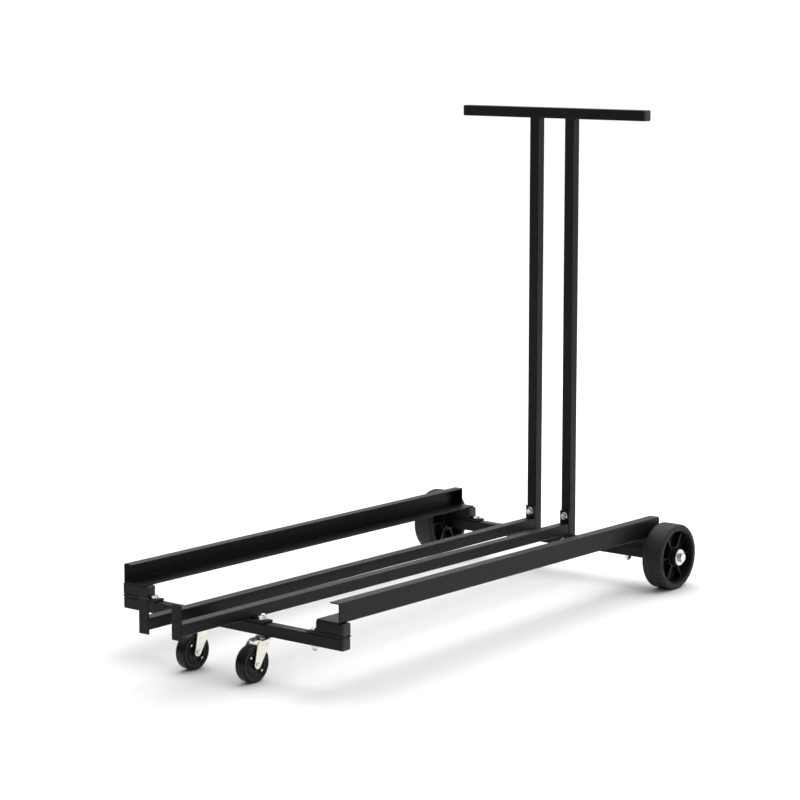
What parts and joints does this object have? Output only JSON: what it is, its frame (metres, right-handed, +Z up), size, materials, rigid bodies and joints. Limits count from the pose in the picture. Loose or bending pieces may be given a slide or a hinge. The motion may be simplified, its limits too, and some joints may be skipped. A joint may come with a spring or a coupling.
{
  "type": "push cart",
  "caption": "Low push cart with a tall T handle: box beams and angle-edged rails carry a long load on big fixed rear wheels and swivel casters.",
  "frame": {"origin": "on the floor under the centre of the overall box", "axes": "+Z up, +Y from the casters towards the handle, +X to the side of the right rear wheel"},
  "size_m": [0.7628, 1.4358, 1.1176],
  "materials": {
    "powder_coat": "satin black powder coat",
    "end_caps": "moulded black plastic",
    "zinc": "bright zinc plated",
    "caster_steel": "zinc plated pressed steel",
    "tyre": "solid black rubber",
    "hub": "ribbed black moulding",
    "caster_rubber": "hard black rubber"
  },
  "bodies": {
    "frame": {"front_cross_beam": "powder_coat", "rear_cross_beam": "powder_coat", "handle_bar": "powder_coat", "left_middle_rail": "powder_coat", "left_stop_plate": "powder_coat", "left_hitch_plate": "powder_coat", "left_rail_seat": "powder_coat", "left_upper_hitch_bolt": "zinc", "left_lower_hitch_bolt": "zinc", "left_outer_rail": "powder_coat", "left_rail_end_plate": "powder_coat", "left_post": "powder_coat", "left_handle_cap": "end_caps", "left_beam_plug": "end_caps", "left_axle_washer": "zinc", "left_axle_bolt": "zinc", "left_caster_stem": "zinc", "left_caster_nut": "zinc", "front_left_spacer": "powder_coat", "front_left_clamp_plate": "powder_coat", "front_left_clamp_bolt": "zinc", "front_left_clamp_nut": "zinc", "rear_left_spacer": "powder_coat", "rear_left_clamp_plate": "powder_coat", "rear_left_clamp_bolt": "zinc", "rear_left_clamp_nut": "zinc", "right_middle_rail": "powder_coat", "right_stop_plate": "powder_coat", "right_hitch_plate": "powder_coat", "right_rail_seat": "powder_coat", "right_upper_hitch_bolt": "zinc", "right_lower_hitch_bolt": "zinc", "right_outer_rail": "powder_coat", "right_rail_end_plate": "powder_coat", "right_post": "powder_coat", "right_handle_cap": "end_caps", "right_beam_plug": "end_caps", "right_axle_washer": "zinc", "right_axle_bolt": "zinc", "right_caster_stem": "zinc", "right_caster_nut": "zinc", "front_right_spacer": "powder_coat", "front_right_clamp_plate": "powder_coat", "front_right_clamp_bolt": "zinc", "front_right_clamp_nut": "zinc", "rear_right_spacer": "powder_coat", "rear_right_clamp_plate": "powder_coat", "rear_right_clamp_bolt": "zinc", "rear_right_clamp_nut": "zinc"},
    "left_rear_wheel": {"left_rear_tyre": "tyre", "left_rear_hub": "hub"},
    "left_caster_swivel": {"left_caster_fork": "caster_steel", "left_caster_axle": "zinc"},
    "left_caster_roller": {"left_caster_wheel": "caster_rubber"},
    "right_rear_wheel": {"right_rear_tyre": "tyre", "right_rear_hub": "hub"},
    "right_caster_swivel": {"right_caster_fork": "caster_steel", "right_caster_axle": "zinc"},
    "right_caster_roller": {"right_caster_wheel": "caster_rubber"}
  },
  "joints": [
    {"name": "left_rear_wheel_roll", "type": "hinge", "parent": "frame", "child": "left_rear_wheel", "pos_m": [-0.34125, 0.6407, 0.0772], "axis": [1, 0, 0], "continuous": true},
    {"name": "left_caster_turn", "type": "hinge", "parent": "frame", "child": "left_caster_swivel", "pos_m": [-0.085, -0.49792, 0.0833], "axis": [0, 0, 1], "continuous": true},
    {"name": "left_caster_roll", "type": "hinge", "parent": "left_caster_swivel", "child": "left_caster_roller", "pos_m": [-0.085, -0.53592, 0.0395], "axis": [1, 0, 0], "continuous": true},
    {"name": "right_rear_wheel_roll", "type": "hinge", "parent": "frame", "child": "right_rear_wheel", "pos_m": [0.34125, 0.6407, 0.0772], "axis": [1, 0, 0], "continuous": true},
    {"name": "right_caster_turn", "type": "hinge", "parent": "frame", "child": "right_caster_swivel", "pos_m": [0.085, -0.49792, 0.0833], "axis": [0, 0, 1], "continuous": true},
    {"name": "right_caster_roll", "type": "hinge", "parent": "right_caster_swivel", "child": "right_caster_roller", "pos_m": [0.085, -0.53592, 0.0395], "axis": [1, 0, 0], "continuous": true}
  ]
}
